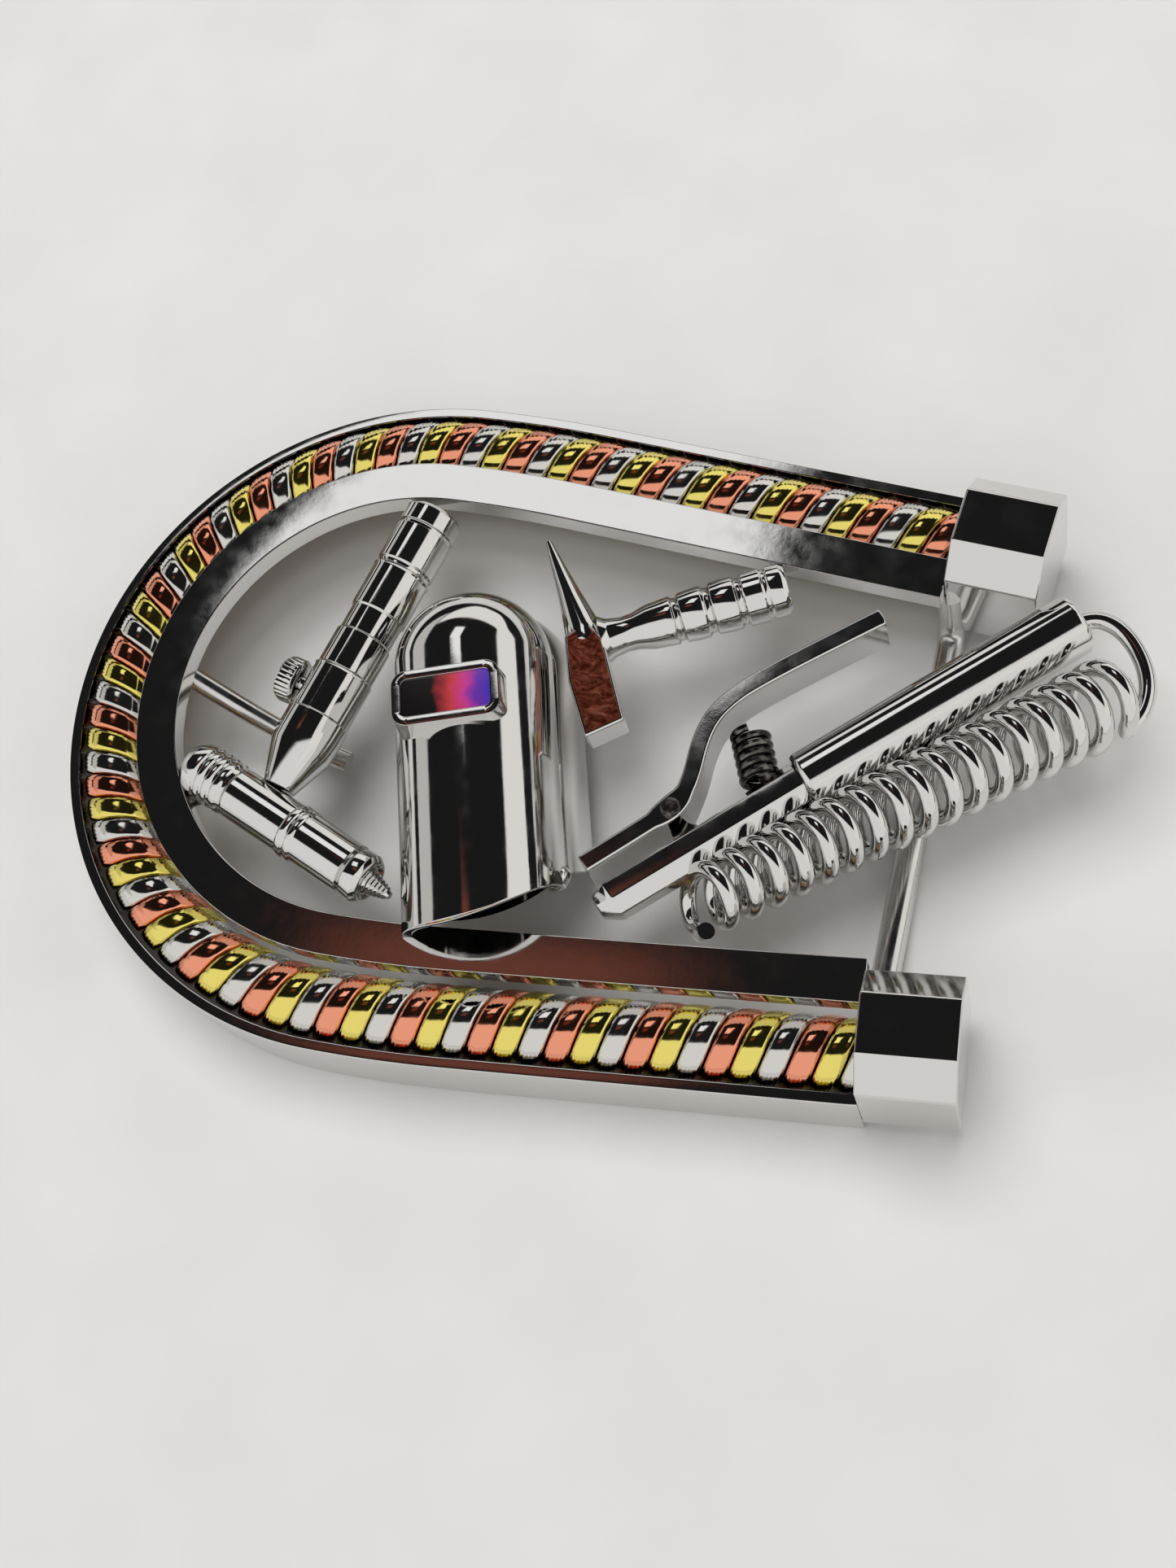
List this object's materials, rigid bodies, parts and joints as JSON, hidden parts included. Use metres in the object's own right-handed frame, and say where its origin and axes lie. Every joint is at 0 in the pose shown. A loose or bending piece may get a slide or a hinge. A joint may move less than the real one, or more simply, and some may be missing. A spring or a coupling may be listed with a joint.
{
  "type": "belt buckle",
  "caption": "Horseshoe belt buckle framed by a twisted three-metal rope, with miniature welding tools and a rear strap loop and hook.",
  "frame": {"origin": "middle of the buckle's length and width, on the plane its back edge and strap loop rest on", "axes": "+Z out of the front face, +X along the buckle's long direction towards the open end with the end caps, +Y across it"},
  "size_m": [0.108, 0.071, 0.0196],
  "materials": {
    "polished": "mirror-polished stainless steel, fine hand-polishing lines, darker grime in the corners",
    "brushed": "satin stainless steel with fine sanding lines",
    "copper": "polished copper bar, flat-ground front facets",
    "brass": "polished yellow brass bar, flat-ground front facets",
    "dark_steel": "heat-darkened steel, semi-gloss",
    "lens": "heat-coloured glossy lens, black to red, pink, purple and blue"
  },
  "bodies": {
    "buckle": {"inner_bar": "polished", "outer_band": "polished", "rope_copper": "copper", "rope_brass": "brass", "rope_steel": "polished", "upper_cap": "polished", "lower_cap": "polished", "torch_end_cap": "polished", "torch_handle": "polished", "knob_stem": "polished", "torch_head": "polished", "torch_back_cap": "polished", "torch_nozzle": "polished", "torch_electrode": "polished", "helmet_shell": "polished", "helmet_back": "brushed", "lens_frame": "polished", "helmet_lens": "lens", "helmet_pivot": "polished", "hammer_head": "polished", "hammer_handle": "polished", "holder_body": "polished", "holder_grip": "polished", "holder_lug": "polished", "lever_pin": "dark_steel", "lever_spring": "dark_steel", "lead_coil": "polished", "lead_tail": "polished", "strap_bail": "brushed", "belt_hook": "brushed", "bow_strut": "polished"},
    "lever": {"holder_lever": "polished"},
    "knob": {"torch_knob": "polished"}
  },
  "joints": [
    {"name": "lever_hinge", "type": "hinge", "parent": "buckle", "child": "lever", "pos_m": [0.01205, -0.0075, 0.011], "axis": [0, 0, -1], "range_deg": [0, 3], "stiffness_Nm_per_rad": 0.02},
    {"name": "knob_turn", "type": "hinge", "parent": "buckle", "child": "knob", "pos_m": [-0.02545, -0.0003, 0.011], "axis": [-0.9707, 0.2404, 0], "range_deg": [-180, 180]}
  ]
}
